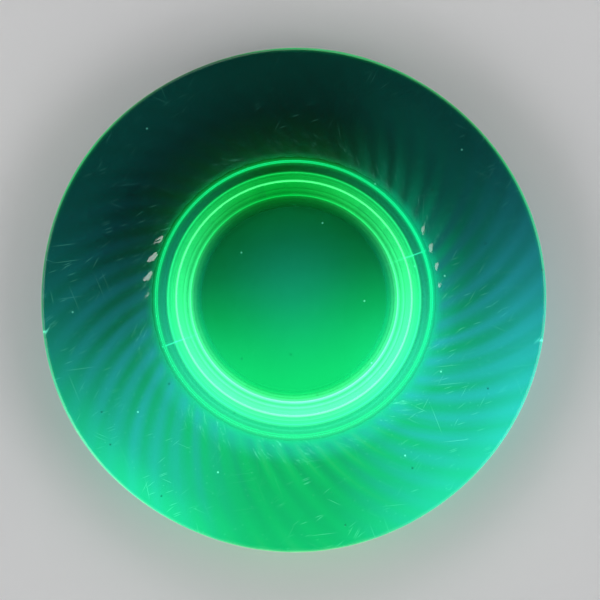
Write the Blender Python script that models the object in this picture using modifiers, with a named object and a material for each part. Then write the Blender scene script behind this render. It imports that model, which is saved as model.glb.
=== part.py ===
"""A round dish of uranium glass with a swirl of pressed ribs, standing on a foot ring.

Two sub-parts in the same glass: dish_body, with the well, the verge and the ribbed rim, and
foot_ring, fused under the well. The dish lies flat on its foot. The origin is on the table plane
under its centre, and +Z is its axis. Everything is in metres.
"""

import math

import bpy

# Rim
RIM_RADIUS = 0.1016
HEIGHT = 0.0200
EDGE_RADIUS = 0.0015
RIM_SLOPE = math.radians(11)

# Well, and the verge where the well turns up into the rim
WELL_RADIUS = 0.0385
WELL_THICKNESS = 0.0032
VERGE_RADIUS = 0.0590
VERGE_TOP = 0.0095
VERGE_SLOPE = math.radians(21)
VERGE_THICKNESS = 0.0034
SHOULDER_SLOPE = math.radians(70)

# Foot ring: a flat crest between two walls, a groove, a rounded bead and the thin edge of a flange
FOOT_HEIGHT = 0.0020
FOOT_INNER_RADIUS = 0.0376
CREST_INNER_RADIUS = 0.0421
CREST_OUTER_RADIUS = 0.0483
GROOVE_RADIUS = 0.0518
GROOVE_DEPTH = 0.0014
BEAD_DROP = 0.0009
FLANGE_RADIUS = 0.0564
FLANGE_EDGE = 0.0003
INNER_WALL_SLOPES = (math.radians(-8), math.radians(-24))
OUTER_WALL_SLOPES = (math.radians(8), math.radians(28))
JOINT_GAP = 0.0003

# Swirl ribs, pressed into the underside of the rim
RIB_COUNT = 48
RIB_DEPTH = 0.00026
RIB_START = 0.0575
RIB_FULL = 0.0602
RIB_HALFWAY = 0.0730
RIB_HALFWAY_DEPTH = 0.45 * RIB_DEPTH
RIB_FADE = 0.0860
RIB_END = 0.0965
RIB_TWIST = math.radians(24)

# Fineness of the sections and of the turned surfaces
EDGE_STEPS = 5
TOP_STEPS = 4
SHOULDER_STEPS = 2
UNDER_STEPS = 7
WALL_STEPS = 3
BEAD_STEPS = 4
BODY_STEPS = 4 * RIB_COUNT
FOOT_STEPS = 2 * RIB_COUNT
WELD = 0.00001
SHARP_ANGLE = math.radians(35)

BASE_Z = FOOT_HEIGHT + JOINT_GAP
WELL_Z = BASE_Z + WELL_THICKNESS
FLANGE_Z = FOOT_HEIGHT - FLANGE_EDGE
RIB_GROUP = "rib_depth"

GLASS_IOR = 1.5
BODY_COLOUR = (0.02, 0.60, 0.28)
BODY_ROUGHNESS = 0.04
FOOT_COLOUR = (0.08, 0.80, 0.38)
FOOT_ROUGHNESS = 0.10

COLLECTION = "uranium_glass_dish"


def arc(centre, radius, start, end, steps):
    """Points on an arc about centre, from the angle start to the angle end."""
    points = []
    for i in range(steps + 1):
        angle = start + (end - start) * i / steps
        points.append((centre[0] + radius * math.cos(angle), centre[1] + radius * math.sin(angle)))
    return points


def curve(start, start_slope, end, end_slope, steps):
    """Points on a cubic between two points, leaving and arriving at the given slopes."""
    reach = (end[0] - start[0]) / 3
    handles = (
        start,
        (start[0] + reach, start[1] + reach * math.tan(start_slope)),
        (end[0] - reach, end[1] - reach * math.tan(end_slope)),
        end,
    )
    points = []
    for i in range(steps + 1):
        done = i / steps
        left = 1 - done
        weights = (left**3, 3 * done * left**2, 3 * done**2 * left, done**3)
        radius = sum(weight * handle[0] for weight, handle in zip(weights, handles))
        height = sum(weight * handle[1] for weight, handle in zip(weights, handles))
        points.append((radius, height))
    return points


def smoothstep(low, high, value):
    """0 up to low, 1 from high, and a soft rise between them."""
    share = min(1.0, max(0.0, (value - low) / (high - low)))
    return share * share * (3 - 2 * share)


def rib_depth(radius):
    """How deep the ribs are pressed at a radius, from their start to their end on the rim."""
    lost = (RIB_DEPTH - RIB_HALFWAY_DEPTH) * smoothstep(RIB_FULL, RIB_HALFWAY, radius)
    started = smoothstep(RIB_START, RIB_FULL, radius)
    fading = 1 - smoothstep(RIB_FADE, RIB_END, radius)
    return (RIB_DEPTH - lost) * started * fading


def twist_at(radius):
    """How far the swirl has turned at a radius."""
    share = (radius - RIB_START) / (RIM_RADIUS - RIB_START)
    return RIB_TWIST * min(1.0, max(0.0, share))


def body_profile():
    """The body's section as its top side, its rounded edge and its underside."""
    edge_centre = (RIM_RADIUS - EDGE_RADIUS, HEIGHT - EDGE_RADIUS)
    upright = math.radians(90)
    edge = arc(edge_centre, EDGE_RADIUS, upright + RIM_SLOPE, RIM_SLOPE - upright, EDGE_STEPS)
    verge = (VERGE_RADIUS, VERGE_TOP)
    under_verge = (
        VERGE_RADIUS + VERGE_THICKNESS * math.sin(VERGE_SLOPE),
        VERGE_TOP - VERGE_THICKNESS * math.cos(VERGE_SLOPE),
    )
    top = [(0, WELL_Z)]
    top += curve((WELL_RADIUS, WELL_Z), 0, verge, VERGE_SLOPE, TOP_STEPS)
    top += curve(verge, VERGE_SLOPE, edge[0], RIM_SLOPE, TOP_STEPS)[1:]
    shoulder = (FLANGE_RADIUS + FLANGE_EDGE, BASE_Z)
    under = [(0, BASE_Z), shoulder]
    under += curve(shoulder, SHOULDER_SLOPE, under_verge, VERGE_SLOPE, SHOULDER_STEPS)[1:]
    under += curve(under_verge, VERGE_SLOPE, edge[-1], RIM_SLOPE, UNDER_STEPS)[1:]
    return top, edge[1:-1], under


def foot_profile():
    """The foot ring's closed section, from its inner top corner outwards and back underneath."""
    flange = [
        (FOOT_INNER_RADIUS, FOOT_HEIGHT),
        (FLANGE_RADIUS - FLANGE_EDGE, FOOT_HEIGHT),
        (FLANGE_RADIUS, FLANGE_Z),
    ]
    bead = []
    for i in range(1, BEAD_STEPS):
        across = i / BEAD_STEPS
        radius = FLANGE_RADIUS + (GROOVE_RADIUS - FLANGE_RADIUS) * across
        shelf = FLANGE_Z + (GROOVE_DEPTH - FLANGE_Z) * across
        bead.append((radius, shelf - BEAD_DROP * math.sin(math.pi * across)))
    start, end = OUTER_WALL_SLOPES
    groove = (GROOVE_RADIUS, GROOVE_DEPTH)
    outer_wall = curve((CREST_OUTER_RADIUS, 0), start, groove, end, WALL_STEPS)
    start, end = INNER_WALL_SLOPES
    inner_top = (FOOT_INNER_RADIUS, FOOT_HEIGHT)
    inner_wall = curve(inner_top, start, (CREST_INNER_RADIUS, 0), end, WALL_STEPS)
    return flange + bead + outer_wall[::-1] + inner_wall[:0:-1]


def glass(name, colour, roughness):
    """Clear coloured glass."""
    material = bpy.data.materials.new(name)
    material.use_nodes = True
    material.diffuse_color = (*colour, 1)
    shader = material.node_tree.nodes["Principled BSDF"]
    shader.inputs["Base Color"].default_value = (*colour, 1)
    shader.inputs["Roughness"].default_value = roughness
    shader.inputs["Metallic"].default_value = 0
    shader.inputs["IOR"].default_value = GLASS_IOR
    shader.inputs["Transmission Weight"].default_value = 1
    return material


def turned(name, profile, closed, steps, material, weights=None):
    """An object whose profile a Screw modifier turns about Z, with weights by profile point."""
    mesh = bpy.data.meshes.new(name)
    count = len(profile)
    edges = [(i, (i + 1) % count) for i in range(count if closed else count - 1)]
    mesh.from_pydata([(radius, 0, height) for radius, height in profile], edges, [])
    mesh.materials.append(material)
    piece = bpy.data.objects.new(name, mesh)
    bpy.data.collections[COLLECTION].objects.link(piece)
    if weights:
        group = piece.vertex_groups.new(name=RIB_GROUP)
        for index, weight in weights.items():
            group.add([index], weight, "REPLACE")
    screw = piece.modifiers.new("Turn", "SCREW")
    screw.steps = steps
    screw.render_steps = steps
    screw.use_merge_vertices = True
    screw.merge_threshold = WELD
    return piece


def apply_modifiers(piece):
    """Keeps the evaluated mesh as the object's own."""
    graph = bpy.context.evaluated_depsgraph_get()
    shaped = piece.evaluated_get(graph)
    make_mesh = bpy.data.meshes.new_from_object
    mesh = make_mesh(shaped, preserve_all_data_layers=True, depsgraph=graph)
    piece.modifiers.clear()
    piece.data = mesh


def press_swirl(piece):
    """Presses the ribs into the underside, and turns each ring of points by the swirl there."""
    group = piece.vertex_groups[RIB_GROUP].index
    for vertex in piece.data.vertices:
        radius = math.hypot(vertex.co.x, vertex.co.y)
        angle = math.atan2(vertex.co.y, vertex.co.x)
        share = sum(entry.weight for entry in vertex.groups if entry.group == group)
        vertex.co.z -= RIB_DEPTH * share * math.cos(RIB_COUNT * angle)
        swirled = angle + twist_at(radius)
        vertex.co.x = radius * math.cos(swirled)
        vertex.co.y = radius * math.sin(swirled)


def shade(piece):
    piece.data.shade_smooth()
    piece.data.set_sharp_from_angle(angle=SHARP_ANGLE)


def make_body(material):
    top, edge, under = body_profile()
    first_under = len(top) + len(edge)
    profile = top + edge + under[::-1]
    weights = {}
    for i in range(first_under, len(profile)):
        weights[i] = rib_depth(profile[i][0]) / RIB_DEPTH
    body = turned("dish_body", profile, False, BODY_STEPS, material, weights)
    apply_modifiers(body)
    press_swirl(body)
    shade(body)
    return body


def make_foot(material):
    foot = turned("foot_ring", foot_profile(), True, FOOT_STEPS, material)
    apply_modifiers(foot)
    shade(foot)
    return foot


def main():
    for old in list(bpy.data.objects):
        bpy.data.objects.remove(old)
    bpy.context.scene.collection.children.link(bpy.data.collections.new(COLLECTION))
    body = make_body(glass("swirl_glass", BODY_COLOUR, BODY_ROUGHNESS))
    foot = make_foot(glass("foot_glass", FOOT_COLOUR, FOOT_ROUGHNESS))
    foot.parent = body


main()
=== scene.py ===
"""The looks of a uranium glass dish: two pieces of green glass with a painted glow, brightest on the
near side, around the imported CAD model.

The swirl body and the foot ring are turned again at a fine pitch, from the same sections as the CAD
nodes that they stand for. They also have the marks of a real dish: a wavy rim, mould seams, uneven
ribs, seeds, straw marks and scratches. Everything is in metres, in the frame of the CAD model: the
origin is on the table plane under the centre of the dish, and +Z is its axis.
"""

import math

import bpy
from mathutils import Matrix, Vector, noise


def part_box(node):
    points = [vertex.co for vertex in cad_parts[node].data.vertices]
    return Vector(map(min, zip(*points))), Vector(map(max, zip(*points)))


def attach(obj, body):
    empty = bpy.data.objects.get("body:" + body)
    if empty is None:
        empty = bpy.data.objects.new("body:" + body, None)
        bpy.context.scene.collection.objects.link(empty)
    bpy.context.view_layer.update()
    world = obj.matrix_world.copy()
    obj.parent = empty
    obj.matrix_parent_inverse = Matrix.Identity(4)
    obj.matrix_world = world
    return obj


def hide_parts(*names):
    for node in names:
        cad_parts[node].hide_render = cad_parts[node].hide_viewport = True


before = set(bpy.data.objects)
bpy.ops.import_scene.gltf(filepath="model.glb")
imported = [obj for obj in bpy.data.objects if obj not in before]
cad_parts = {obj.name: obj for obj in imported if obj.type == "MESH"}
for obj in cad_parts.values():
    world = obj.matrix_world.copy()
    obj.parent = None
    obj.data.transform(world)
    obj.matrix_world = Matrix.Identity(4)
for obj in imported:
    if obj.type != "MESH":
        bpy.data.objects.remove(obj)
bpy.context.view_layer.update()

# ------------------------------------------------------------------------------------ sizes

BODY_LOW, BODY_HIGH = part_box("dish_body")
FOOT_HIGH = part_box("foot_ring")[1]

# Rim
RIM_RADIUS = BODY_HIGH.x
HEIGHT = BODY_HIGH.z
EDGE_RADIUS = 0.0015
RIM_SLOPE = math.radians(11)

# Well, and the verge where the well turns up into the rim
BASE_Z = BODY_LOW.z
WELL_RADIUS = 0.0385
WELL_THICKNESS = 0.0032
WELL_Z = BASE_Z + WELL_THICKNESS
VERGE_RADIUS = 0.0590
VERGE_TOP = 0.0095
VERGE_SLOPE = math.radians(21)
VERGE_THICKNESS = 0.0034
SHOULDER_SLOPE = math.radians(70)

# Foot ring: a flat crest between two walls, a groove, a rounded bead and the thin edge of a flange
FOOT_TOP = FOOT_HIGH.z
FUSED = 0.00002  # how far the fused foot reaches into the body's underside
FOOT_INNER_RADIUS = 0.0376
CREST_INNER_RADIUS = 0.0421
CREST_OUTER_RADIUS = 0.0483
GROOVE_RADIUS = 0.0518
GROOVE_DEPTH = 0.0014
BEAD_DROP = 0.0009
FLANGE_RADIUS = FOOT_HIGH.x
FLANGE_EDGE = 0.0003
FLANGE_TURN = math.radians(60)  # how far the flange's edge is rounded
INNER_WALL_SLOPES = (math.radians(-8), math.radians(-24))
OUTER_WALL_SLOPES = (math.radians(8), math.radians(28))

# Swirl ribs, pressed into the underside of the rim
RIB_COUNT = 48
RIB_DEPTH = 0.00026
RIB_START = 0.0575
RIB_FULL = 0.0602
RIB_HALFWAY = 0.0730
RIB_HALFWAY_DEPTH = 0.45 * RIB_DEPTH
RIB_FADE = 0.0860
RIB_END = 0.0965
RIB_TWIST = math.radians(24)
RIB_SHARE_ON_TOP = 0.12  # how much of the ribs still shows on the top side

# The hand-finished rim: for each wave its height, its number of crests and its direction
RIM_WAVES = [
    (0.00024, 2, math.radians(28)),
    (0.00018, 5, 0),
    (0.00018, 6, math.radians(27)),
]
RIPPLE_HEIGHT = 0.00003
RIPPLES_PER_METRE = 90

# Mould seams across the foot, and the two short marks on the rim's edge
SEAM_ANGLES = (math.radians(20), math.radians(200))
RIM_MARK_ANGLES = (math.radians(187), math.radians(351))
RIM_MARK_SPAN = (0.0030, 0.0016)  # how far inside the rim's edge a mark sets in and is full
SEAM_WIDTH = math.radians(0.28)
SEAM_HEIGHT = 0.00018
SEAM_SHARPNESS = 2
SEAM_BLEND = 0.001  # the distance outside the crest over which a seam rises
SEAM_WANDER = math.radians(0.35)
SEAM_BENDS_PER_METRE = 900

# How uneven the ribs look: the size of the noise, and how fine it is around and outwards
RIB_SWELL = 0.7
RIB_SWELL_FINENESS = (7, 30)
RIB_STREAKS = 0.55
RIB_STREAK_FINENESS = (34, 45)
RIB_FADING = 0.75  # how much of the ribs' look is lost at the rim's edge

# Fineness of the sections and of the turned surfaces
WELL_STEPS = 8
VERGE_STEPS = 18
RIM_STEPS = 22
EDGE_STEPS = 12
BASE_STEPS = 10
SHOULDER_STEPS = 14
UNDER_STEPS = 34
FLANGE_STEPS = 4
BEAD_STEPS = 16
WALL_STEPS = 12
TURN_STEPS = 12 * RIB_COUNT
SEAM_SHARES = (-2, -1.2, -0.7, -0.35, 0, 0.35, 0.7, 1.2, 2)  # angles by a seam, in seam widths
SEAM_CLEARANCE = 2.4  # how far the even angles keep off a seam, in seam widths
SHARP_ANGLE = math.radians(35)


# --------------------------------------------------------------------------------- sections


def arc(centre, radius, start, end, steps):
    """Points on an arc about centre, from the angle start to the angle end."""
    points = []
    for i in range(steps + 1):
        angle = start + (end - start) * i / steps
        points.append((centre[0] + radius * math.cos(angle), centre[1] + radius * math.sin(angle)))
    return points


def curve(start, start_slope, end, end_slope, steps):
    """Points on a cubic between two points, leaving and arriving at the given slopes."""
    reach = (end[0] - start[0]) / 3
    handles = (
        start,
        (start[0] + reach, start[1] + reach * math.tan(start_slope)),
        (end[0] - reach, end[1] - reach * math.tan(end_slope)),
        end,
    )
    points = []
    for i in range(steps + 1):
        done = i / steps
        left = 1 - done
        weights = (left**3, 3 * done * left**2, 3 * done**2 * left, done**3)
        radius = sum(weight * handle[0] for weight, handle in zip(weights, handles))
        height = sum(weight * handle[1] for weight, handle in zip(weights, handles))
        points.append((radius, height))
    return points


def smoothstep(low, high, value):
    """0 up to low, 1 from high, and a soft rise between them."""
    share = min(1.0, max(0.0, (value - low) / (high - low)))
    return share * share * (3 - 2 * share)


def rib_depth(radius):
    """How deep the ribs are pressed at a radius, from their start to their end on the rim."""
    lost = (RIB_DEPTH - RIB_HALFWAY_DEPTH) * smoothstep(RIB_FULL, RIB_HALFWAY, radius)
    started = smoothstep(RIB_START, RIB_FULL, radius)
    fading = 1 - smoothstep(RIB_FADE, RIB_END, radius)
    return (RIB_DEPTH - lost) * started * fading


def twist_at(radius):
    """How far the swirl has turned at a radius."""
    share = (radius - RIB_START) / (RIM_RADIUS - RIB_START)
    return RIB_TWIST * min(1.0, max(0.0, share))


def body_profile():
    """The body's section, over the top and back underneath, and where its underside starts."""
    edge_centre = (RIM_RADIUS - EDGE_RADIUS, HEIGHT - EDGE_RADIUS)
    upright = math.radians(90)
    edge = arc(edge_centre, EDGE_RADIUS, upright + RIM_SLOPE, RIM_SLOPE - upright, EDGE_STEPS)
    verge = (VERGE_RADIUS, VERGE_TOP)
    under_verge = (
        VERGE_RADIUS + VERGE_THICKNESS * math.sin(VERGE_SLOPE),
        VERGE_TOP - VERGE_THICKNESS * math.cos(VERGE_SLOPE),
    )
    top = [(WELL_RADIUS * i / WELL_STEPS, WELL_Z) for i in range(WELL_STEPS)]
    top += curve((WELL_RADIUS, WELL_Z), 0, verge, VERGE_SLOPE, VERGE_STEPS)
    top += curve(verge, VERGE_SLOPE, edge[0], RIM_SLOPE, RIM_STEPS)[1:]
    shoulder = (FLANGE_RADIUS + FLANGE_EDGE, BASE_Z)
    under = [(shoulder[0] * i / BASE_STEPS, BASE_Z) for i in range(BASE_STEPS)]
    under += curve(shoulder, SHOULDER_SLOPE, under_verge, VERGE_SLOPE, SHOULDER_STEPS)
    under += curve(under_verge, VERGE_SLOPE, edge[-1], RIM_SLOPE, UNDER_STEPS)[1:]
    over = top + edge[1:-1]
    return over + under[::-1], len(over)


def foot_profile():
    """The foot ring's closed section, from its inner top corner outwards and back underneath."""
    top_z = BASE_Z + FUSED
    top = [(FOOT_INNER_RADIUS, top_z), (FLANGE_RADIUS - FLANGE_EDGE / 2, top_z)]
    flange_z = FOOT_TOP - FLANGE_EDGE
    flange = arc((FLANGE_RADIUS - FLANGE_EDGE, flange_z), FLANGE_EDGE, FLANGE_TURN, 0, FLANGE_STEPS)
    bead = []
    for i in range(1, BEAD_STEPS):
        across = i / BEAD_STEPS
        radius = FLANGE_RADIUS + (GROOVE_RADIUS - FLANGE_RADIUS) * across
        shelf = flange_z + (GROOVE_DEPTH - flange_z) * across
        bead.append((radius, shelf - BEAD_DROP * math.sin(math.pi * across)))
    start, end = OUTER_WALL_SLOPES
    groove = (GROOVE_RADIUS, GROOVE_DEPTH)
    outer_wall = curve((CREST_OUTER_RADIUS, 0), start, groove, end, WALL_STEPS)
    start, end = INNER_WALL_SLOPES
    inner_top = (FOOT_INNER_RADIUS, FOOT_TOP)
    inner_wall = curve(inner_top, start, (CREST_INNER_RADIUS, 0), end, WALL_STEPS)
    return top + flange + bead + outer_wall[::-1] + inner_wall[:0:-1]


# ----------------------------------------------------------------------------------- meshes


def on_circle(radius, angle, height):
    """The point at a radius, an angle and a height."""
    return Vector((radius * math.cos(angle), radius * math.sin(angle), height))


def angles_with(seams):
    """The turning angles: even ones, and close ones by each seam so that it keeps its shape."""
    close = [middle + SEAM_WIDTH * share for middle in seams for share in SEAM_SHARES]
    even = [math.tau * i / TURN_STEPS for i in range(TURN_STEPS)]
    clearance = SEAM_CLEARANCE * SEAM_WIDTH
    kept = [angle for angle in even if all(abs(angle - middle) > clearance for middle in seams)]
    return sorted(kept + close)


def turned(name, profile, angles, place, closed=False):
    """A mesh piece: the profile at each angle, each point put at place(index, radius, height, angle)."""
    points = []
    rows = []
    count = len(angles)
    for index, (radius, height) in enumerate(profile):
        if radius == 0:
            rows.append([len(points)] * count)
            points.append(Vector((0, 0, height)))
            continue
        rows.append([len(points) + i for i in range(count)])
        points += [place(index, radius, height, angle) for angle in angles]
    followers = rows[1:] + rows[:1] if closed else rows[1:]
    faces = []
    for row, follower in zip(rows, followers):
        for i in range(count):
            after = (i + 1) % count
            corners = (row[i], follower[i], follower[after], row[after])
            faces.append(tuple(dict.fromkeys(corners)))
    mesh = bpy.data.meshes.new(name)
    mesh.from_pydata(points, [], faces)
    mesh.validate()
    mesh.shade_smooth()
    mesh.set_sharp_from_angle(angle=SHARP_ANGLE)
    piece = bpy.data.objects.new(name, mesh)
    bpy.context.scene.collection.objects.link(piece)
    return piece


def rim_wave(radius, angle):
    """How far the hand-finished rim stands out or in at an angle."""
    wave = 0
    for size, crests, direction in RIM_WAVES:
        wave += size * math.cos(crests * (angle - direction))
    return wave * smoothstep(VERGE_RADIUS, RIM_RADIUS, radius)


def place_body(first_under):
    """A function that places the points of the swirl body."""

    def place(index, radius, height, angle):
        swirled = angle + twist_at(radius)
        share = 1 if index >= first_under else RIB_SHARE_ON_TOP
        height -= share * rib_depth(radius) * math.cos(RIB_COUNT * angle)
        radius += rim_wave(radius, swirled)
        point = on_circle(radius, swirled, height)
        if height > BASE_Z:
            ripple = RIPPLE_HEIGHT * noise.noise(point * RIPPLES_PER_METRE)
            point.z += ripple * smoothstep(WELL_RADIUS, VERGE_RADIUS, radius)
        return point

    return place


def seam_share(angle, radius, seams):
    """How much of its full height a thin, slightly wandering mould seam has at an angle."""
    wander = SEAM_WANDER * noise.noise(Vector((radius * SEAM_BENDS_PER_METRE, 0, 0)))
    away = min(abs((angle - middle - wander + math.pi) % math.tau - math.pi) for middle in seams)
    return math.exp(-SEAM_SHARPNESS * (away / SEAM_WIDTH) ** 2)


def outside_crest(radius):
    """0 up to the foot's crest and 1 outside it."""
    return smoothstep(CREST_OUTER_RADIUS, CREST_OUTER_RADIUS + SEAM_BLEND, radius)


def place_foot(index, radius, height, angle):
    """Places a point of the foot ring, with the seams standing out of it outside the crest."""
    if height < FOOT_TOP:
        height -= SEAM_HEIGHT * outside_crest(radius) * seam_share(angle, radius, SEAM_ANGLES)
    return on_circle(radius, angle, height)


def place_plain(index, radius, height, angle):
    """Places a point of a plain turned surface."""
    return on_circle(radius, angle, height)


def paint(piece, name, value_at):
    """Stores a value for each vertex of a piece's mesh, for its material to read."""
    layer = piece.data.attributes.new(name, "FLOAT", "POINT")
    layer.data.foreach_set("value", [value_at(vertex) for vertex in piece.data.vertices])


def polar(vertex):
    """The radius and the angle of a vertex."""
    return math.hypot(vertex.co.x, vertex.co.y), math.atan2(vertex.co.y, vertex.co.x)


def facing_up(vertex):
    """1 on the top side and 0 on the underside."""
    return 1.0 if vertex.normal.z > 0 else 0.0


def foot_seam_value(vertex):
    """1 along the middle of the seams across the foot ring."""
    radius, angle = polar(vertex)
    return outside_crest(radius) * seam_share(angle, radius, SEAM_ANGLES)


def rim_seam_value(vertex):
    """1 along the middle of the short marks on the rim's edge."""
    radius, angle = polar(vertex)
    start, full = RIM_MARK_SPAN
    at_edge = smoothstep(RIM_RADIUS - start, RIM_RADIUS - full, radius)
    return at_edge * seam_share(angle, radius, RIM_MARK_ANGLES)


def swirl_noise(angle, radius, fineness):
    """Smooth noise that follows the swirl."""
    around, outwards = fineness
    return noise.noise(on_circle(around, angle, outwards * radius))


def rib_value(vertex):
    """Near 1 on the crest of a rib and near -1 between two, uneven as pressed glass is."""
    radius, angle = polar(vertex)
    angle -= twist_at(radius)
    swell = 1 + RIB_SWELL * swirl_noise(angle, radius, RIB_SWELL_FINENESS)
    streaks = RIB_STREAKS * swirl_noise(angle, radius, RIB_STREAK_FINENESS)
    started = smoothstep(RIB_START, RIB_FULL, radius)
    fading = 1 - RIB_FADING * smoothstep(RIB_FULL, RIM_RADIUS, radius)
    return started * fading * (swell * math.cos(RIB_COUNT * angle) + streaks)


# ------------------------------------------------------------------------------- node tools

RAMP_MARGIN = 1.01  # the colour ramps over the radius end this many rim radii out


def add(tree, kind, inputs=None, **settings):
    """A new node with its settings, and its inputs set to plain values or linked to sockets."""
    node = tree.nodes.new(kind)
    for key, value in settings.items():
        setattr(node, key, value)
    for key, value in (inputs or {}).items():
        if isinstance(value, bpy.types.NodeSocket):
            tree.links.new(value, node.inputs[key])
        else:
            node.inputs[key].default_value = value
    return node


def maths(tree, operation, *values):
    """The result socket of a Math node."""
    return add(tree, "ShaderNodeMath", dict(enumerate(values)), operation=operation).outputs[0]


def product(tree, first, *others):
    """The product of values or sockets."""
    for other in others:
        first = maths(tree, "MULTIPLY", first, other)
    return first


def total(tree, first, *others):
    """The sum of values or sockets."""
    for other in others:
        first = maths(tree, "ADD", first, other)
    return first


def largest(tree, first, *others):
    """The largest of values or sockets."""
    for other in others:
        first = maths(tree, "MAXIMUM", first, other)
    return first


def one_plus(tree, value, scale):
    """1 plus a scaled value."""
    return maths(tree, "MULTIPLY_ADD", value, scale, 1.0)


def scaled(tree, colour, scale):
    """A colour or vector times a value."""
    inputs = {0: colour, "Scale": scale}
    return add(tree, "ShaderNodeVectorMath", inputs, operation="SCALE").outputs["Vector"]


def together(tree, first, *others):
    """The sum of colours."""
    for other in others:
        inputs = {0: first, 1: other}
        first = add(tree, "ShaderNodeVectorMath", inputs, operation="ADD").outputs["Vector"]
    return first


def span(tree, value, low, high, to_low=0.0, to_high=1.0):
    """A value mapped smoothly from one span to another."""
    inputs = {"Value": value, "From Min": low, "From Max": high, "To Min": to_low, "To Max": to_high}
    return add(tree, "ShaderNodeMapRange", inputs, interpolation_type="SMOOTHSTEP").outputs["Result"]


def ramp(tree, factor, stops):
    """The colour socket of a Color Ramp with stops of (position, value) or (position, colour)."""
    node = add(tree, "ShaderNodeValToRGB", {"Fac": factor})
    elements = node.color_ramp.elements
    elements.remove(elements[1])
    for number, (position, value) in enumerate(stops):
        element = elements[0] if number == 0 else elements.new(position)
        element.position = position
        colour = value if isinstance(value, tuple) else (value, value, value)
        element.color = (*colour, 1)
    return node.outputs["Color"]


def by_radius(tree, radius, rows):
    """A colour ramp over the radius, from rows of (radius, value or colour)."""
    widest = RIM_RADIUS * RAMP_MARGIN
    stops = [(row_radius / widest, value) for row_radius, value in rows]
    return ramp(tree, maths(tree, "DIVIDE", radius, widest), stops)


def noise_texture(tree, vector, scale, detail, **more):
    """The value socket of a Noise Texture node."""
    inputs = {"Vector": vector, "Scale": scale, "Detail": detail, **more}
    return add(tree, "ShaderNodeTexNoise", inputs).outputs["Fac"]


def attribute(tree, name):
    """The value socket of a painted value, 0 on a piece without it."""
    return add(tree, "ShaderNodeAttribute", attribute_name=name).outputs["Fac"]


def marks(tree, flat, turn, cells, size, share):
    """Small marks strewn over the surface, one in a share of the cells."""
    inputs = {"Vector": flat, "Angle": turn}
    along = add(tree, "ShaderNodeVectorRotate", inputs, rotation_type="Z_AXIS").outputs["Vector"]
    inputs = {0: along, 1: (*cells, 1)}
    cell = add(tree, "ShaderNodeVectorMath", inputs, operation="MULTIPLY").outputs["Vector"]
    inputs = {"Vector": cell, "Scale": 1.0}
    spots = add(tree, "ShaderNodeTexVoronoi", inputs, voronoi_dimensions="2D")
    spot = span(tree, spots.outputs["Distance"], size, size / 3)
    chosen = add(tree, "ShaderNodeSeparateColor", {"Color": spots.outputs["Color"]}).outputs["Red"]
    return product(tree, spot, maths(tree, "GREATER_THAN", chosen, 1 - share))


# --------------------------------------------------------------------------------- the painted glow

# What ends in _IN is a span of radii over which something sets in, going outwards. What ends in
# _OUT is one over which it fades, so its larger radius comes first.

# Radius, and how bright the painted glow is there on the glass's far side and on its near side
BODY_PAINTED_GLOW = [
    (0.0000, 0.075, 0.30),
    (0.0345, 0.06, 0.37),
    (0.0380, 0.04, 0.37),
    (0.0410, 0.06, 0.32),
    (0.0480, 0.10, 0.38),
    (0.0510, 0.10, 0.36),
    (0.0520, 0.03, 0.32),
    (0.0542, 0.04, 0.33),
    (0.0552, 0.18, 0.40),
    (0.0562, 0.22, 0.43),
    (0.0570, 0.16, 0.41),
    (0.0582, 0.06, 0.385),
    (0.0600, 0.03, 0.37),
    (0.0650, 0.015, 0.365),
    (0.0780, 0.00, 0.36),
    (0.0960, 0.00, 0.385),
    (0.0998, 0.00, 0.395),
    (0.1000, 0.09, 0.54),
    (0.1003, 0.01, 0.37),
    (0.1009, 0.10, 0.42),
    (0.1012, 0.42, 0.60),
    (0.1016, 0.46, 0.62),
]
FOOT_PAINTED_GLOW = [
    (FOOT_INNER_RADIUS, 0.0, 0.0),
    (FOOT_INNER_RADIUS + 0.0012, 0.01, 0.03),
    (FOOT_INNER_RADIUS + 0.0030, 0.04, 0.14),
    (CREST_INNER_RADIUS - 0.0005, 0.08, 0.24),
    (CREST_INNER_RADIUS, 0.30, 0.66),
    (CREST_INNER_RADIUS + 0.0004, 0.14, 0.40),
    (0.0450, 0.15, 0.46),
    (CREST_OUTER_RADIUS - 0.0006, 0.20, 0.49),
    (CREST_OUTER_RADIUS - 0.0003, 0.58, 0.75),
    (CREST_OUTER_RADIUS, 1.00, 1.00),
    (CREST_OUTER_RADIUS + 0.0003, 0.58, 0.75),
    (CREST_OUTER_RADIUS + 0.0006, 0.16, 0.37),
    (0.0496, 0.15, 0.34),
    (0.0500, 0.24, 0.46),
    (0.0504, 0.15, 0.34),
    (GROOVE_RADIUS - 0.0006, 0.15, 0.30),
    (GROOVE_RADIUS, 0.46, 0.48),
    (GROOVE_RADIUS + 0.0004, 0.10, 0.16),
    (GROOVE_RADIUS + 0.0009, 0.02, 0.09),
    (FLANGE_RADIUS - 0.0007, 0.02, 0.10),
    (FLANGE_RADIUS - 0.0003, 0.20, 0.32),
    (FLANGE_RADIUS, 0.20, 0.32),
]
# Level of the painted glow, and its colour
PAINTED_GLOW_COLOURS = [
    (0.00, (0.0, 0.0, 0.0)),
    (0.10, (0.0, 0.070, 0.008)),
    (0.20, (0.0, 0.17, 0.022)),
    (0.40, (0.003, 0.38, 0.085)),
    (0.50, (0.04, 0.47, 0.15)),
    (0.60, (0.16, 0.58, 0.23)),
    (0.80, (0.50, 0.84, 0.50)),
    (1.00, (1.00, 1.00, 0.90)),
]
# Painted light: the near side gets the brightest painted glow, and the crest of a rib gets more of it
NEAR_SIDE = math.radians(-83)  # the direction of the near side, which glows most
RIB_GLOW = 0.16  # how much more the crest of a rib glows, as a share

# Fine rings left by the mould, painted as brighter and darker rings of light in the glow
RINGS_PER_METRE = 1000.0
RING_DETAIL = 3.0
RING_CONTRAST = 1.2
RINGS_IN = (0.037, 0.040)
RINGS_OUT = (0.056, 0.052)
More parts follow.
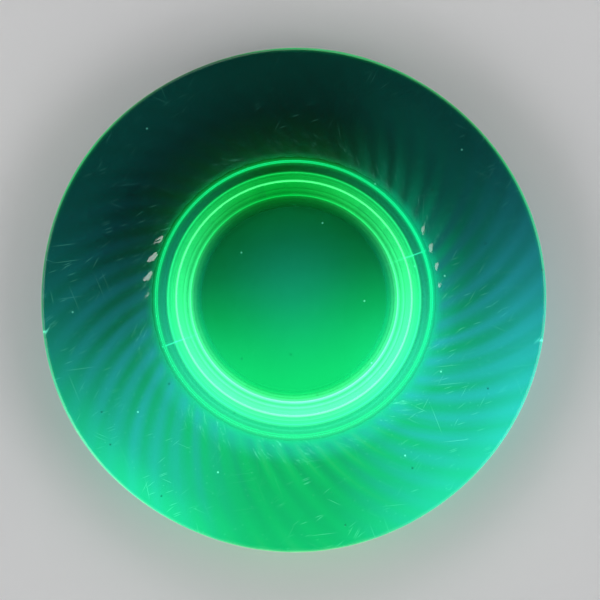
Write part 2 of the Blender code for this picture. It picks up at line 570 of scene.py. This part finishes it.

# Painted cold light on the rim, the well and the verge
COLD_LIGHT_COLOUR = (0.05, 0.45, 0.85)
COLD_LIGHT_FAR = 0.007  # what the far side has
COLD_LIGHT_NEAR = 0.28  # what the near side has on top of that
COLD_LIGHT_BEND = 0.78  # the power of the nearness that it follows
COLD_LIGHT_INSIDE = 0.35  # the share of it inside the rim
COLD_LIGHT_IN = (0.056, 0.061)
COLD_LIGHT_ON_RIBS = -0.5  # the crest of a rib has this much less, as a share
COLD_LIGHT_ON_RIGHT = 2.1  # how many times more the right-hand edge has
RIGHT_EDGE = (0.65 * RIM_RADIUS, RIM_RADIUS)
WELL_COLD_LIGHT = 0.055
VERGE_COLD_LIGHT = 0.15
VERGE_COLD_LIGHT_IN = (0.056, 0.059)
VERGE_COLD_LIGHT_OUT = (0.068, 0.060)

# How far to the left or right something sets in that is strongest there, and its share in the middle
BESIDE = (0.1 * RIM_RADIUS, 0.70 * RIM_RADIUS)
MIDDLE_SHARE = 0.12

# Radius, and the colour of the painted pale light over the foot's rings there
RING_LIGHT_COLOURS = [
    (0.0480, (0.25, 0.44, 0.46)),
    (0.0525, (0.08, 0.44, 0.51)),
]
RING_LIGHT = 0.19
RING_LIGHT_UNEVENNESS = 0.55
RING_LIGHT_BEND = 0.9
RING_LIGHT_IN = (0.0385, 0.0425)
RING_LIGHT_OUT = (0.0590, 0.0550)

# Radius, and how much of the side colour the right-hand side glows with there, as painted light
SIDE_GLOW = [
    (0.0545, 0.0),
    (0.0558, 1.15),
    (0.0572, 1.05),
    (0.0610, 0.40),
    (0.0720, 0.17),
    (0.0850, 0.08),
    (0.0960, 0.0),
]
SIDE_COLOUR = (0.0, 0.24, 0.14)
SIDE_ON_RIBS = 0.4  # the crest of a rib has this much more, as a share
RIGHT_SIDE = (0.12 * RIM_RADIUS, 0.60 * RIM_RADIUS)

# Painted light brightens the near rim towards its edge, less on the right than on the left
NEAR_RIM_COLOUR = (0.0, 0.28, 0.02)
NEAR_RIM_IN = (0.0850, 0.0995)
NEAR_RIM_ON_RIGHT = 0.4
RIGHT_TO_MIDDLE = (0.5 * RIM_RADIUS, 0.0)

# A painted line of light where the flange ends
FLANGE_LIGHT_COLOUR = (0.09, 1.25, 0.58)
FLANGE_LINE_IN = (0.0559, 0.0563)
FLANGE_LINE_OUT = (0.0571, 0.0567)
FLANGE_LINE_NEAR = -0.6  # the near side has this much less, as a share

# Seams and small marks: the seams, straw marks, scratches, seeds and dust are real marks drawn in
# painted light, and the dark specks are real seeds
MARK_LIGHT_COLOUR = (0.18, 0.80, 0.60)
SEAM_GLOW = 0.7
SEAM_GLOW_NEAR = 0.5
STRAW_SWIRL = -18.0  # how far a straw mark turns for each metre outwards, in radians
STRAW_FINENESS = (34.0, 190.0)
STRAW_NOISE = {"Roughness": 0.75, "Distortion": 0.7}
STRAW_DETAIL = 7.0
STRAW_SPAN = (0.54, 0.72)
STRAWS_IN = (0.0568, 0.0590)
STRAWS_OUT = (0.0700, 0.0610)
STRAW_GROUP_SCALE = 70.0
STRAW_GROUP_SPAN = (0.42, 0.60)
# Marks: direction in radians, cells per metre along and across, width in cells, share of cells with one
SCRATCHES = [
    (math.radians(24), (62, 2600), 0.26, 0.012),
    (math.radians(-62), (85, 2800), 0.28, 0.014),
    (math.radians(78), (48, 2400), 0.24, 0.007),
    (math.radians(-20), (150, 3000), 0.34, 0.024),
    (math.radians(-38), (110, 3000), 0.30, 0.018),
    (math.radians(-7), (34, 2300), 0.26, 0.012),
    (math.radians(68), (30, 2300), 0.24, 0.013),
]
SEEDS = (0.4, (75, 75), 0.040, 0.10)
DUST = (1.1, (420, 420), 0.15, 0.07)
DARK_SPECKS = (2.0, (95, 95), 0.055, 0.09)
SCRATCHES_IN = (0.060, 0.068)
WEAR_SCALE = 24.0
WEAR_SPAN = (0.40, 0.62)
LEAST_WEAR = 0.15
STRAW_STRENGTH = 0.70
SCRATCH_STRENGTH = 0.48
SEED_STRENGTH = 0.9
DUST_STRENGTH = 0.14
DARK_STRENGTH = -0.6
MARKS_FAR = 0.4
MARKS_NEAR = 0.6


class Surface:
    """Sockets that tell where on the dish a point of the surface lies."""

    def __init__(self, tree, farthest, evenness):
        self.place = add(tree, "ShaderNodeTexCoord").outputs["Object"]
        axes = add(tree, "ShaderNodeSeparateXYZ", {"Vector": self.place}).outputs
        self.x = axes["X"]
        flat = {"X": axes["X"], "Y": axes["Y"]}
        self.flat = add(tree, "ShaderNodeCombineXYZ", flat).outputs["Vector"]
        length = add(tree, "ShaderNodeVectorMath", {0: self.flat}, operation="LENGTH")
        self.radius = length.outputs["Value"]
        self.angle = maths(tree, "ARCTAN2", axes["Y"], axes["X"])
        self.beside = span(tree, maths(tree, "ABSOLUTE", axes["X"]), *BESIDE, MIDDLE_SHARE, 1.0)
        self.near = self.nearness(tree, farthest, evenness)
        self.rings = self.mould_rings(tree)
        self.rib = attribute(tree, "rib")
        self.top = attribute(tree, "top")
        self.seam = attribute(tree, "seam")

    def nearness(self, tree, farthest, evenness):
        """0 on the far side of the dish and 1 on the near side, where the most light is painted.

        It starts to rise where the cosine of the angle to the near side is farthest, by a power that
        changes from the first value of evenness in the well to the second on the verge.
        """
        side = (math.cos(NEAR_SIDE), math.sin(NEAR_SIDE), 0)
        inputs = {0: self.flat, 1: side}
        ahead = add(tree, "ShaderNodeVectorMath", inputs, operation="DOT_PRODUCT").outputs["Value"]
        ahead = maths(tree, "DIVIDE", ahead, maths(tree, "MAXIMUM", self.radius, WELL_RADIUS))
        bend = span(tree, self.radius, WELL_RADIUS, VERGE_RADIUS, *evenness)
        return maths(tree, "POWER", span(tree, ahead, farthest, 1.0), bend)

    def mould_rings(self, tree):
        """The fine rings of the mould, up to about half the ring contrast above and below 0."""
        across = maths(tree, "MULTIPLY", self.radius, RINGS_PER_METRE)
        inputs = {"W": across, "Scale": 1.0, "Detail": RING_DETAIL}
        rings = add(tree, "ShaderNodeTexNoise", inputs, noise_dimensions="1D").outputs["Fac"]
        rings = maths(tree, "SUBTRACT", rings, 0.5)
        fading = span(tree, self.radius, *RINGS_OUT, 0.0, RING_CONTRAST)
        return product(tree, rings, span(tree, self.radius, *RINGS_IN), fading)


def painted_glow_colour(tree, at, glow):
    """The painted green glow, by radius and nearness, with the mould's rings and the ribs in it."""
    far_level = by_radius(tree, at.radius, [(radius, far) for radius, far, near in glow])
    near_level = by_radius(tree, at.radius, [(radius, near) for radius, far, near in glow])
    gained = maths(tree, "SUBTRACT", near_level, far_level)
    level = maths(tree, "MULTIPLY_ADD", at.near, gained, far_level)
    ribs = one_plus(tree, at.rib, RIB_GLOW)
    return ramp(tree, product(tree, level, maths(tree, "ADD", at.rings, 1.0), ribs), PAINTED_GLOW_COLOURS)


def painted_cold_light(tree, at):
    """Cold light on the left and right of the rim, on the verge and in the middle of the well."""
    amount = maths(tree, "POWER", at.near, COLD_LIGHT_BEND)
    amount = maths(tree, "MULTIPLY_ADD", amount, COLD_LIGHT_NEAR, COLD_LIGHT_FAR)
    on_right = span(tree, at.x, *RIGHT_EDGE, 1.0, COLD_LIGHT_ON_RIGHT)
    outwards = span(tree, at.radius, *COLD_LIGHT_IN, COLD_LIGHT_INSIDE, 1.0)
    ribs = one_plus(tree, at.rib, COLD_LIGHT_ON_RIBS)
    rim_cold_light = product(tree, at.beside, on_right, amount, outwards, ribs)
    well_cold_light = span(tree, at.radius, WELL_RADIUS, 0.0, 0.0, WELL_COLD_LIGHT)
    verge_in = span(tree, at.radius, *VERGE_COLD_LIGHT_IN)
    verge_out = span(tree, at.radius, *VERGE_COLD_LIGHT_OUT)
    verge_cold_light = product(tree, verge_in, verge_out, at.near, VERGE_COLD_LIGHT)
    return scaled(tree, COLD_LIGHT_COLOUR, total(tree, rim_cold_light, well_cold_light, verge_cold_light))


def painted_ring_light(tree, at):
    """Pale light over the foot's rings, strongest on the near side."""
    inwards = span(tree, at.radius, *RING_LIGHT_IN)
    outwards = span(tree, at.radius, *RING_LIGHT_OUT)
    amount = maths(tree, "POWER", at.near, RING_LIGHT_BEND)
    uneven = maths(tree, "MULTIPLY_ADD", at.rings, RING_LIGHT_UNEVENNESS, RING_LIGHT)
    ring_light_amount = product(tree, inwards, outwards, amount, uneven)
    return scaled(tree, by_radius(tree, at.radius, RING_LIGHT_COLOURS), ring_light_amount)


def side_light(tree, at):
    """Green light on the right-hand side of the top, less of it towards the near side."""
    amount = by_radius(tree, at.radius, SIDE_GLOW)
    away = maths(tree, "SUBTRACT", 1.0, at.near)
    on_right = span(tree, at.x, *RIGHT_SIDE)
    ribs = one_plus(tree, at.rib, SIDE_ON_RIBS)
    return scaled(tree, SIDE_COLOUR, product(tree, amount, away, on_right, ribs, at.top))


def near_rim_light(tree, at):
    """Green light towards the edge of the near rim."""
    amount = product(tree, span(tree, at.radius, *NEAR_RIM_IN), at.near, at.near, at.beside)
    on_left = span(tree, at.x, *RIGHT_TO_MIDDLE, NEAR_RIM_ON_RIGHT, 1.0)
    return scaled(tree, NEAR_RIM_COLOUR, product(tree, amount, on_left, at.top))


def painted_flange_line(tree, at, strength):
    """The painted line of light where the flange ends, on all but the top side, and equally bright on
    both pieces.
    """
    inwards = span(tree, at.radius, *FLANGE_LINE_IN)
    outwards = span(tree, at.radius, *FLANGE_LINE_OUT)
    amount = one_plus(tree, at.near, FLANGE_LINE_NEAR)
    lower = maths(tree, "DIVIDE", maths(tree, "SUBTRACT", 1.0, at.top), strength)
    return scaled(tree, FLANGE_LIGHT_COLOUR, product(tree, inwards, outwards, amount, lower))


def seam_light(tree, at):
    """Light caught by the mould seams and the marks on the rim's edge."""
    amount = maths(tree, "MULTIPLY_ADD", at.near, SEAM_GLOW_NEAR, SEAM_GLOW)
    return scaled(tree, MARK_LIGHT_COLOUR, product(tree, at.seam, amount))


def straw_marks(tree, at):
    """Feathery straw marks drawn out along the swirl beside the verge, in loose groups."""
    swirled = maths(tree, "MULTIPLY_ADD", at.radius, STRAW_SWIRL, at.angle)
    around, outwards = STRAW_FINENESS
    inputs = {"X": product(tree, swirled, around), "Y": product(tree, at.radius, outwards)}
    drawn_out = add(tree, "ShaderNodeCombineXYZ", inputs).outputs["Vector"]
    straws = noise_texture(tree, drawn_out, 1.0, STRAW_DETAIL, **STRAW_NOISE)
    groups = noise_texture(tree, at.place, STRAW_GROUP_SCALE, 1.0)
    straws = span(tree, straws, *STRAW_SPAN)
    groups = span(tree, groups, *STRAW_GROUP_SPAN)
    inwards = span(tree, at.radius, *STRAWS_IN)
    outwards = span(tree, at.radius, *STRAWS_OUT)
    return product(tree, straws, inwards, outwards, groups)


def scratches(tree, at):
    """Hairline scratches on the rim, more of them where it is worn."""
    lines = largest(tree, *[marks(tree, at.flat, *row) for row in SCRATCHES])
    worn = noise_texture(tree, at.flat, WEAR_SCALE, 1.0)
    worn = span(tree, worn, *WEAR_SPAN, LEAST_WEAR, 1.0)
    return product(tree, lines, span(tree, at.radius, *SCRATCHES_IN), worn)


def bright_marks(tree, at):
    """Straw marks, scratches, seeds and dust, on the top side only, drawn as painted light that is
    brighter on the near side.
    """
    marking = total(
        tree,
        product(tree, straw_marks(tree, at), STRAW_STRENGTH),
        product(tree, scratches(tree, at), SCRATCH_STRENGTH),
        product(tree, marks(tree, at.flat, *SEEDS), SEED_STRENGTH),
        product(tree, marks(tree, at.flat, *DUST), DUST_STRENGTH),
    )
    amount = maths(tree, "MULTIPLY_ADD", at.near, MARKS_NEAR, MARKS_FAR)
    return product(tree, marking, amount, at.top)


# -------------------------------------------------------------------------------- materials

# Radius, and how much of each colour passes the surface of the glass there: the glass's tint, darkened
# towards the rim as painted shade
TINTS_AND_PAINTED_SHADE = [
    (0.0000, (0.25, 0.93, 0.80)),
    (0.0370, (0.25, 0.93, 0.75)),
    (0.0415, (0.88, 0.97, 0.76)),
    (0.0515, (0.88, 0.97, 0.76)),
    (0.0525, (0.50, 0.88, 0.68)),
    (0.0548, (0.45, 0.86, 0.68)),
    (0.0566, (0.10, 0.66, 0.52)),
    (0.0605, (0.015, 0.29, 0.23)),
    (0.1016, (0.01, 0.20, 0.16)),
]
GLASS_IOR = 1.5
GLASS_COLOUR = (0.35, 0.67, 0.62, 1)
GLASS_DENSITY = 620.0
SMUDGE_SCALE = 45.0
SMUDGE_DETAIL = 5.0
SMUDGE_ROUGHNESS = 0.6
ROUGHER_SPAN = (0.35, 0.75)  # the span of the smudge noise over which the glass gets rougher
ROUGHER = 0.04
ROUGHER_ON_MARKS = 0.3
DARKER_SPAN = (0.3, 0.7)
LEAST_TINT = 0.94
GRAIN_SCALE = 160.0
GRAIN_DETAIL = 3.0
GRAIN_STRENGTH = 0.05
GRAIN_HEIGHT = 0.0003


def uranium_glass(name, glow, strength, farthest, evenness, roughness, marked):
    """Green glass with a painted glow: emission that follows the rows of glow by radius."""
    material = bpy.data.materials.new(name)
    material.use_nodes = True
    tree = material.node_tree
    at = Surface(tree, farthest, evenness)
    # Painted light: the glow, the cold, pale and side light, the flange line and the seams' light are
    # all emission
    light = together(
        tree,
        painted_glow_colour(tree, at, glow),
        painted_cold_light(tree, at),
        painted_ring_light(tree, at),
        side_light(tree, at),
        near_rim_light(tree, at),
        painted_flange_line(tree, at, strength),
        seam_light(tree, at),
    )
    smudges = noise_texture(tree, at.place, SMUDGE_SCALE, SMUDGE_DETAIL, Roughness=SMUDGE_ROUGHNESS)
    rough = span(tree, smudges, *ROUGHER_SPAN, roughness, roughness + ROUGHER)
    if marked:
        marking = bright_marks(tree, at)
        dark = one_plus(tree, marks(tree, at.flat, *DARK_SPECKS), DARK_STRENGTH)
        light = together(tree, scaled(tree, light, dark), scaled(tree, MARK_LIGHT_COLOUR, marking))
        rough = total(tree, rough, product(tree, marking, ROUGHER_ON_MARKS))
    grain = noise_texture(tree, at.place, GRAIN_SCALE, GRAIN_DETAIL)
    bump = {"Height": grain, "Strength": GRAIN_STRENGTH, "Distance": GRAIN_HEIGHT}
    # The glass's tint, darkened towards the rim as painted shade
    tint_and_shade = by_radius(tree, at.radius, TINTS_AND_PAINTED_SHADE)
    tint_and_shade = scaled(tree, tint_and_shade, span(tree, smudges, *DARKER_SPAN, LEAST_TINT, 1.0))

    shader = tree.nodes["Principled BSDF"]
    tree.links.new(light, shader.inputs["Emission Color"])
    tree.links.new(rough, shader.inputs["Roughness"])
    tree.links.new(tint_and_shade, shader.inputs["Base Color"])
    tree.links.new(add(tree, "ShaderNodeBump", bump).outputs["Normal"], shader.inputs["Normal"])
    shader.inputs["Emission Strength"].default_value = strength
    shader.inputs["IOR"].default_value = GLASS_IOR
    shader.inputs["Transmission Weight"].default_value = 1.0
    inside = {"Color": GLASS_COLOUR, "Density": GLASS_DENSITY}
    inside = add(tree, "ShaderNodeVolumeAbsorption", inside).outputs["Volume"]
    tree.links.new(inside, tree.nodes["Material Output"].inputs["Volume"])
    return material


FLOOR_DARK = (0.80, 0.80, 0.81)
FLOOR_LIGHT = (0.84, 0.84, 0.84)
FLOOR_ROUGHNESS = 0.7
MOTTLE_SCALE = 6.0
MOTTLE_DETAIL = 4.0
MOTTLE_SPAN = (0.3, 0.7)


def floor_material():
    """Pale matt card with a faint mottle."""
    material = bpy.data.materials.new("studio_floor")
    material.use_nodes = True
    tree = material.node_tree
    place = add(tree, "ShaderNodeTexCoord").outputs["Object"]
    mottle = noise_texture(tree, place, MOTTLE_SCALE, MOTTLE_DETAIL)
    colour = ramp(tree, mottle, list(zip(MOTTLE_SPAN, (FLOOR_DARK, FLOOR_LIGHT))))
    shader = tree.nodes["Principled BSDF"]
    tree.links.new(colour, shader.inputs["Base Color"])
    shader.inputs["Roughness"].default_value = FLOOR_ROUGHNESS
    return material


# ----------------------------------------------------------------------------------- pieces


def make_body():
    """The swirl body: well, verge and ribbed rim."""
    profile, first_under = body_profile()
    # The marks' angles before place_body turns the points of the rim by the whole twist
    rim_marks = [middle - twist_at(RIM_RADIUS) for middle in RIM_MARK_ANGLES]
    body = turned("swirl_body", profile, angles_with(rim_marks), place_body(first_under))
    paint(body, "rib", rib_value)
    paint(body, "top", facing_up)
    paint(body, "seam", rim_seam_value)
    look = uranium_glass(
        "swirl_glass_look",
        glow=BODY_PAINTED_GLOW,
        strength=1.0,
        farthest=-0.8,
        evenness=(1.2, 1.8),
        roughness=0.006,
        marked=True,
    )
    body.data.materials.append(look)
    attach(body, "root")
    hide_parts("dish_body")


def make_foot():
    """The ring that the dish stands on, fused into the body's underside."""
    foot = turned("fused_foot", foot_profile(), angles_with(SEAM_ANGLES), place_foot, closed=True)
    paint(foot, "seam", foot_seam_value)
    look = uranium_glass(
        "foot_glass_look",
        glow=FOOT_PAINTED_GLOW,
        strength=2.1,
        farthest=-1.0,
        evenness=(0.5, 0.35),
        roughness=0.02,
        marked=False,
    )
    foot.data.materials.append(look)
    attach(foot, "root")
    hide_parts("foot_ring")


# ----------------------------------------------------------------------------------- studio

FLOOR_RADII = (0, 0.3, 0.8, 1.6)
FLOOR_RADIUS = 2.4
SWEEP_RADIUS = 0.8
SWEEP_STEPS = 16
WALL_HEIGHT = 1.6
FLOOR_STEPS = 96

# Height of the direction, and how bright the surroundings are there
WORLD_BRIGHTNESS = [(0.0, 1.00), (0.45, 1.25), (0.62, 1.15), (0.70, 0.20), (0.76, 0.06), (1.0, 0.02)]

# Name, azimuth and elevation in degrees, distance, size and power in watts
SOFTBOXES = [
    ("left_softbox", 195, 30, 1.7, (1.6, 0.8), 6),
    ("right_softbox", -15, 30, 1.7, (1.6, 0.8), 6),
    ("back_softbox", 90, 28, 1.7, (1.4, 0.6), 3),
    ("left_strip", 195, 50, 1.4, (0.5, 0.04), 0.35),
    ("right_strip", -15, 52.8, 1.4, (0.5, 0.04), 0.45),
]

CAMERA_DISTANCE = 1.5
CAMERA_TARGET = Vector((0.0028, 0.0004, 0.9 * HEIGHT))
CAMERA_LEAN = (math.radians(1.3), math.radians(3.5))
CAMERA_CLIP = (0.05, 20)
SENSOR_WIDTH = 36
DISH_SHARE_OF_FRAME = 0.842


def make_floor():
    """A round pale floor that sweeps up into a wall all round."""
    flat = [(radius, 0) for radius in FLOOR_RADII]
    sweep = arc((FLOOR_RADIUS, SWEEP_RADIUS), SWEEP_RADIUS, -math.pi / 2, 0, SWEEP_STEPS)
    wall = [(FLOOR_RADIUS + SWEEP_RADIUS, WALL_HEIGHT)]
    angles = [math.tau * i / FLOOR_STEPS for i in range(FLOOR_STEPS)]
    floor = turned("studio_floor", flat + sweep + wall, angles, place_plain)
    floor.data.flip_normals()
    floor.data.materials.append(floor_material())


def make_softbox(name, azimuth, elevation, distance, size, power):
    """A rectangular area light aimed at the dish."""
    light = bpy.data.lights.new(name, "AREA")
    light.shape = "RECTANGLE"
    light.size, light.size_y = size
    light.energy = power
    lamp = bpy.data.objects.new(name, light)
    rise = math.radians(elevation)
    direction = on_circle(math.cos(rise), math.radians(azimuth), math.sin(rise))
    lamp.location = distance * direction
    lamp.rotation_euler = (-lamp.location).to_track_quat("-Z", "Y").to_euler()
    lamp.visible_camera = False
    bpy.context.scene.collection.objects.link(lamp)


def make_world():
    """Soft pale surroundings, dark overhead so that the glass isn't veiled by its reflections."""
    world = bpy.data.worlds.new("studio")
    bpy.context.scene.world = world
    world.use_nodes = True
    tree = world.node_tree
    direction = add(tree, "ShaderNodeTexCoord").outputs["Generated"]
    up = add(tree, "ShaderNodeSeparateXYZ", {"Vector": direction}).outputs["Z"]
    tree.links.new(ramp(tree, up, WORLD_BRIGHTNESS), tree.nodes["Background"].inputs["Color"])


def make_camera():
    """Above the dish, a little off its axis, framing it as seen face on."""
    camera_data = bpy.data.cameras.new("camera")
    camera = bpy.data.objects.new("camera", camera_data)
    bpy.context.scene.collection.objects.link(camera)
    lean_x, lean_y = CAMERA_LEAN
    back = Vector((math.sin(lean_x), math.sin(lean_y), 1)).normalized()
    up = back.cross(Vector((1, 0, 0))).normalized()
    right = up.cross(back)
    rotation = Matrix((right, up, back)).transposed().to_4x4()
    camera.matrix_world = Matrix.Translation(CAMERA_TARGET + back * CAMERA_DISTANCE) @ rotation
    frame_width = 2 * RIM_RADIUS / DISH_SHARE_OF_FRAME
    camera_data.sensor_width = SENSOR_WIDTH
    camera_data.lens = SENSOR_WIDTH * CAMERA_DISTANCE / frame_width
    camera_data.clip_start, camera_data.clip_end = CAMERA_CLIP
    bpy.context.scene.camera = camera


def set_light_paths():
    """Enough bounces for light through both pieces of glass, and a plain view transform."""
    scene = bpy.context.scene
    scene.view_settings.view_transform = "Standard"
    scene.cycles.max_bounces = 24
    scene.cycles.transmission_bounces = 20
    scene.cycles.glossy_bounces = 12
    scene.cycles.diffuse_bounces = 3
    scene.cycles.caustics_reflective = False
    scene.cycles.caustics_refractive = True
    scene.cycles.blur_glossy = 0.5


make_body()
make_foot()
make_floor()
make_world()
for row in SOFTBOXES:
    make_softbox(*row)
make_camera()
set_light_paths()
